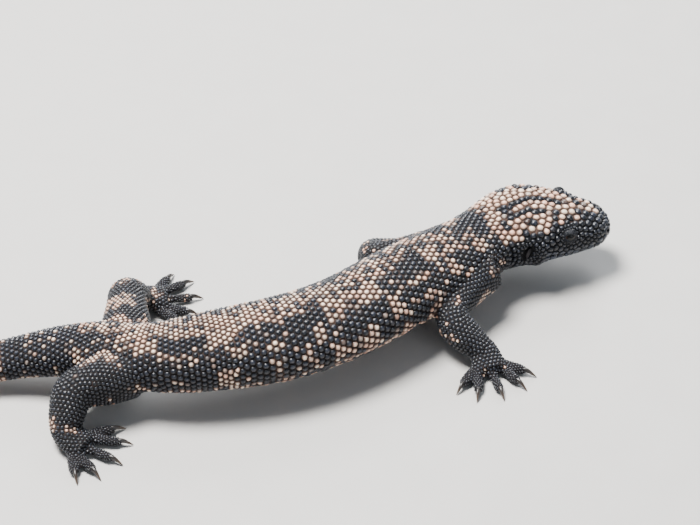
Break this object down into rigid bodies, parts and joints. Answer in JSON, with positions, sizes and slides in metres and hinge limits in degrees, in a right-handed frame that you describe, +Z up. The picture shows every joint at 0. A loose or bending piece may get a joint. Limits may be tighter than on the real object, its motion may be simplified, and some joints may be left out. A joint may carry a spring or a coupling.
{
  "type": "gila monster",
  "caption": "Still life-size model of a thick-bodied beaded lizard standing with its trunk bent, its head raised off the floor and its fat tail laid along it.",
  "frame": {"origin": "middle of the model's box, on the floor that the feet and the tail rest on", "axes": "+X towards the head, +Y towards the animal's left side, +Z up"},
  "size_m": [0.3964, 0.1915, 0.0451],
  "materials": {
    "beaded_skin": "hard rounded bead scales in salmon and black bands, with a dull sheen",
    "claw_and_foot_skin": "small black bead scales, with smooth dark claws",
    "eye": "wet and glossy, almost black",
    "eardrum": "thin smooth skin"
  },
  "bodies": {
    "root": {"head": "beaded_skin", "lower_jaw": "beaded_skin", "eye_left": "eye", "eye_right": "eye", "eardrum_left": "eardrum", "eardrum_right": "eardrum", "neck": "beaded_skin", "chest": "beaded_skin", "belly": "beaded_skin", "loin": "beaded_skin", "rump": "beaded_skin", "tail_base": "beaded_skin", "tail_middle": "beaded_skin", "tail_tip": "beaded_skin", "foreleg_left_upper": "beaded_skin", "foreleg_left_shank": "beaded_skin", "foreleg_left_foot": "claw_and_foot_skin", "foreleg_right_upper": "beaded_skin", "foreleg_right_shank": "beaded_skin", "foreleg_right_foot": "claw_and_foot_skin", "hindleg_left_upper": "beaded_skin", "hindleg_left_shank": "beaded_skin", "hindleg_left_foot": "claw_and_foot_skin", "hindleg_right_upper": "beaded_skin", "hindleg_right_shank": "beaded_skin", "hindleg_right_foot": "claw_and_foot_skin"}
  },
  "joints": []
}
